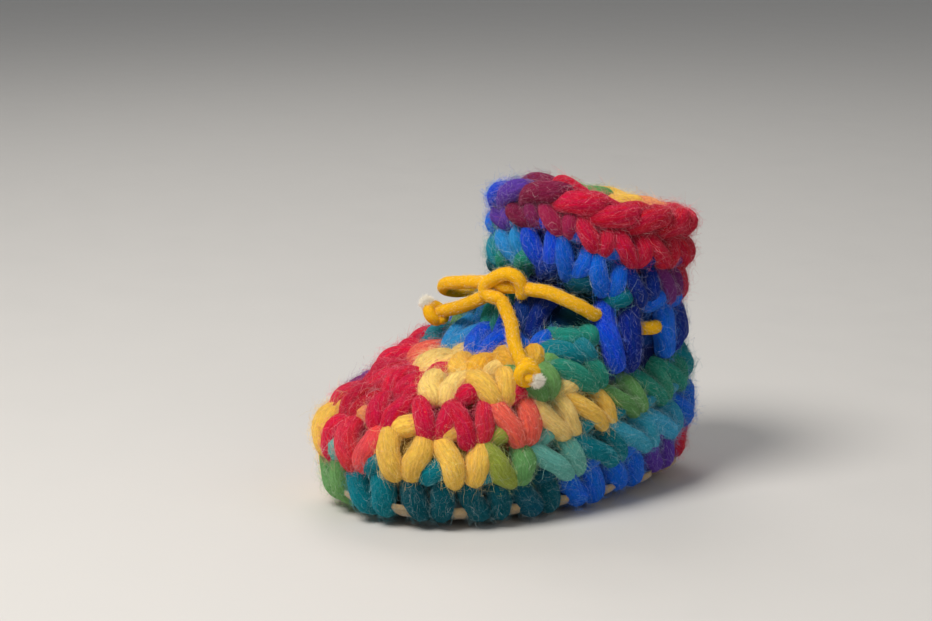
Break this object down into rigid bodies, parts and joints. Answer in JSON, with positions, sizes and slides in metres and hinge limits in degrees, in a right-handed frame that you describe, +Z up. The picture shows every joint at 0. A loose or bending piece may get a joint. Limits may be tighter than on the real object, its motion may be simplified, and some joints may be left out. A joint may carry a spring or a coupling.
{
  "type": "crocheted bootie slipper",
  "caption": "Baby's bootie slipper of thick crocheted wool on a curled suede sole, with a fleece insole, an open collar and a cotton drawstring tied at the ankle.",
  "frame": {"origin": "middle of the sole's underside, on the floor", "axes": "+Z up, -Y towards the toe, +X towards the side that the drawstring's hanging end lies on"},
  "size_m": [0.0783, 0.122, 0.0945],
  "materials": {
    "suede": "napped suede",
    "fleece": "curled sheepskin fleece",
    "wool": "thick space-dyed roving yarn, crocheted",
    "cotton": "twisted cotton cord"
  },
  "bodies": {
    "root": {"sole": "suede", "insole": "fleece", "upper": "wool", "cord_run": "cotton", "cord_loop": "cotton", "cord_knot": "cotton", "cord_end_side": "cotton", "cord_end_toe": "cotton", "end_knot_side": "cotton", "end_knot_toe": "cotton"}
  },
  "joints": []
}
